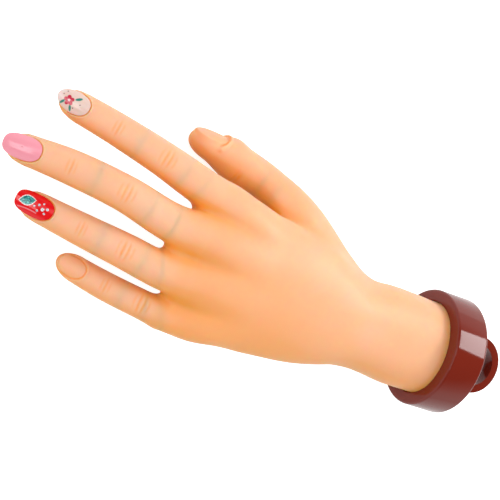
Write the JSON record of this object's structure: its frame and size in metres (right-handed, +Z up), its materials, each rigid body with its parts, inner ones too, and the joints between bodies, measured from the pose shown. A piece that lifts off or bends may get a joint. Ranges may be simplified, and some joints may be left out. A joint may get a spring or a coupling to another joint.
{
  "type": "nail practice hand",
  "caption": "Soft vinyl left hand for practising manicures, with wired fingers that bend at the knuckles, press-on nails and a round wrist collar with an eye for a stand post.",
  "frame": {"origin": "under the middle of the hand, on the surface that it lies on", "axes": "+X from the wrist collar to the fingertips, +Z up through the back of the hand, the thumb on the -Y side"},
  "size_m": [0.252, 0.0864, 0.0528],
  "materials": {
    "skin_vinyl": "soft peach vinyl with a satin, faintly translucent surface",
    "base_plastic": "glossy red-brown moulded plastic",
    "armature_wire": "bare bendable steel wire",
    "screw_steel": "plain zinc-plated steel",
    "inner_plastic": "matt off-white moulded plastic, hidden inside",
    "nail_pale_pink": null,
    "nail_pink": "glossy pink nail",
    "nail_red": "glossy red nail with glitter decoration"
  },
  "bodies": {
    "palm": {"palm_skin": "skin_vinyl", "armature_core": "inner_plastic", "wrist_plug": "inner_plastic", "index_wire_palm": "armature_wire", "middle_wire_palm": "armature_wire", "ring_wire_palm": "armature_wire", "little_wire_palm": "armature_wire", "thumb_wire_palm": "armature_wire", "base_collar": "base_plastic", "post_eye": "base_plastic", "plug_screw_lower": "screw_steel", "plug_screw_upper": "screw_steel", "eye_screw_thumb_side": "screw_steel", "eye_screw_little_side": "screw_steel"},
    "index_proximal": {"index_skin_proximal": "skin_vinyl", "index_wire_proximal": "armature_wire"},
    "index_middle": {"index_skin_middle": "skin_vinyl", "index_wire_middle": "armature_wire"},
    "index_tip": {"index_skin_tip": "skin_vinyl", "index_wire_tip": "armature_wire", "index_press_on_nail": "nail_pale_pink"},
    "middle_proximal": {"middle_skin_proximal": "skin_vinyl", "middle_wire_proximal": "armature_wire"},
    "middle_middle": {"middle_skin_middle": "skin_vinyl", "middle_wire_middle": "armature_wire"},
    "middle_tip": {"middle_skin_tip": "skin_vinyl", "middle_wire_tip": "armature_wire", "middle_press_on_nail": "nail_pink"},
    "ring_proximal": {"ring_skin_proximal": "skin_vinyl", "ring_wire_proximal": "armature_wire"},
    "ring_middle": {"ring_skin_middle": "skin_vinyl", "ring_wire_middle": "armature_wire"},
    "ring_tip": {"ring_skin_tip": "skin_vinyl", "ring_wire_tip": "armature_wire", "ring_press_on_nail": "nail_red"},
    "little_proximal": {"little_skin_proximal": "skin_vinyl", "little_wire_proximal": "armature_wire"},
    "little_middle": {"little_skin_middle": "skin_vinyl", "little_wire_middle": "armature_wire"},
    "little_tip": {"little_skin_tip": "skin_vinyl", "little_wire_tip": "armature_wire"},
    "thumb_proximal": {"thumb_skin_proximal": "skin_vinyl", "thumb_wire_proximal": "armature_wire"},
    "thumb_tip": {"thumb_skin_tip": "skin_vinyl", "thumb_wire_tip": "armature_wire"}
  },
  "joints": [
    {"name": "index_root", "type": "hinge", "parent": "palm", "child": "index_proximal", "pos_m": [0.0439, -0.01854, 0.02898], "axis": [0.2924, 0.9563, 0], "range_deg": [-10, 45]},
    {"name": "index_middle_knuckle", "type": "hinge", "parent": "index_proximal", "child": "index_middle", "pos_m": [0.06377, -0.02461, 0.02532], "axis": [0.2588, 0.9659, 0], "range_deg": [0, 60]},
    {"name": "index_end_knuckle", "type": "hinge", "parent": "index_middle", "child": "index_tip", "pos_m": [0.08469, -0.03022, 0.01701], "axis": [0.1564, 0.9877, 0], "range_deg": [0, 40]},
    {"name": "middle_root", "type": "hinge", "parent": "palm", "child": "middle_proximal", "pos_m": [0.05245, -0.00076, 0.031], "axis": [0.225, 0.9744, 0], "range_deg": [-10, 45]},
    {"name": "middle_middle_knuckle", "type": "hinge", "parent": "middle_proximal", "child": "middle_middle", "pos_m": [0.07699, -0.00642, 0.02701], "axis": [0.1253, 0.9921, 0], "range_deg": [0, 60]},
    {"name": "middle_end_knuckle", "type": "hinge", "parent": "middle_middle", "child": "middle_tip", "pos_m": [0.09907, -0.00921, 0.01802], "axis": [0.0314, 0.9995, 0], "range_deg": [0, 40]},
    {"name": "ring_root", "type": "hinge", "parent": "palm", "child": "ring_proximal", "pos_m": [0.0493, 0.01821, 0.02898], "axis": [0.1374, 0.9905, 0], "range_deg": [-10, 45]},
    {"name": "ring_middle_knuckle", "type": "hinge", "parent": "ring_proximal", "child": "ring_middle", "pos_m": [0.068, 0.01562, 0.02497], "axis": [0.1461, 0.9893, 0], "range_deg": [0, 60]},
    {"name": "ring_end_knuckle", "type": "hinge", "parent": "ring_middle", "child": "ring_tip", "pos_m": [0.08553, 0.01303, 0.01708], "axis": [0.1063, 0.9943, 0], "range_deg": [0, 40]},
    {"name": "little_root", "type": "hinge", "parent": "palm", "child": "little_proximal", "pos_m": [0.0391, 0.03585, 0.02499], "axis": [0.1305, 0.9914, 0], "range_deg": [-10, 45]},
    {"name": "little_middle_knuckle", "type": "hinge", "parent": "little_proximal", "child": "little_middle", "pos_m": [0.05111, 0.03427, 0.02151], "axis": [0.1374, 0.9905, 0], "range_deg": [0, 60]},
    {"name": "little_end_knuckle", "type": "hinge", "parent": "little_middle", "child": "little_tip", "pos_m": [0.06595, 0.03221, 0.01484], "axis": [0.1771, 0.9842, 0], "range_deg": [0, 40]},
    {"name": "thumb_root", "type": "hinge", "parent": "palm", "child": "thumb_proximal", "pos_m": [-0.0041, -0.02645, 0.015], "axis": [-0.2366, -0.1806, -0.9547], "range_deg": [-20, 10]},
    {"name": "thumb_knuckle", "type": "hinge", "parent": "thumb_proximal", "child": "thumb_tip", "pos_m": [0.02224, -0.0345, 0.01], "axis": [-0.1503, -0.2226, -0.9633], "range_deg": [-40, 0]}
  ]
}
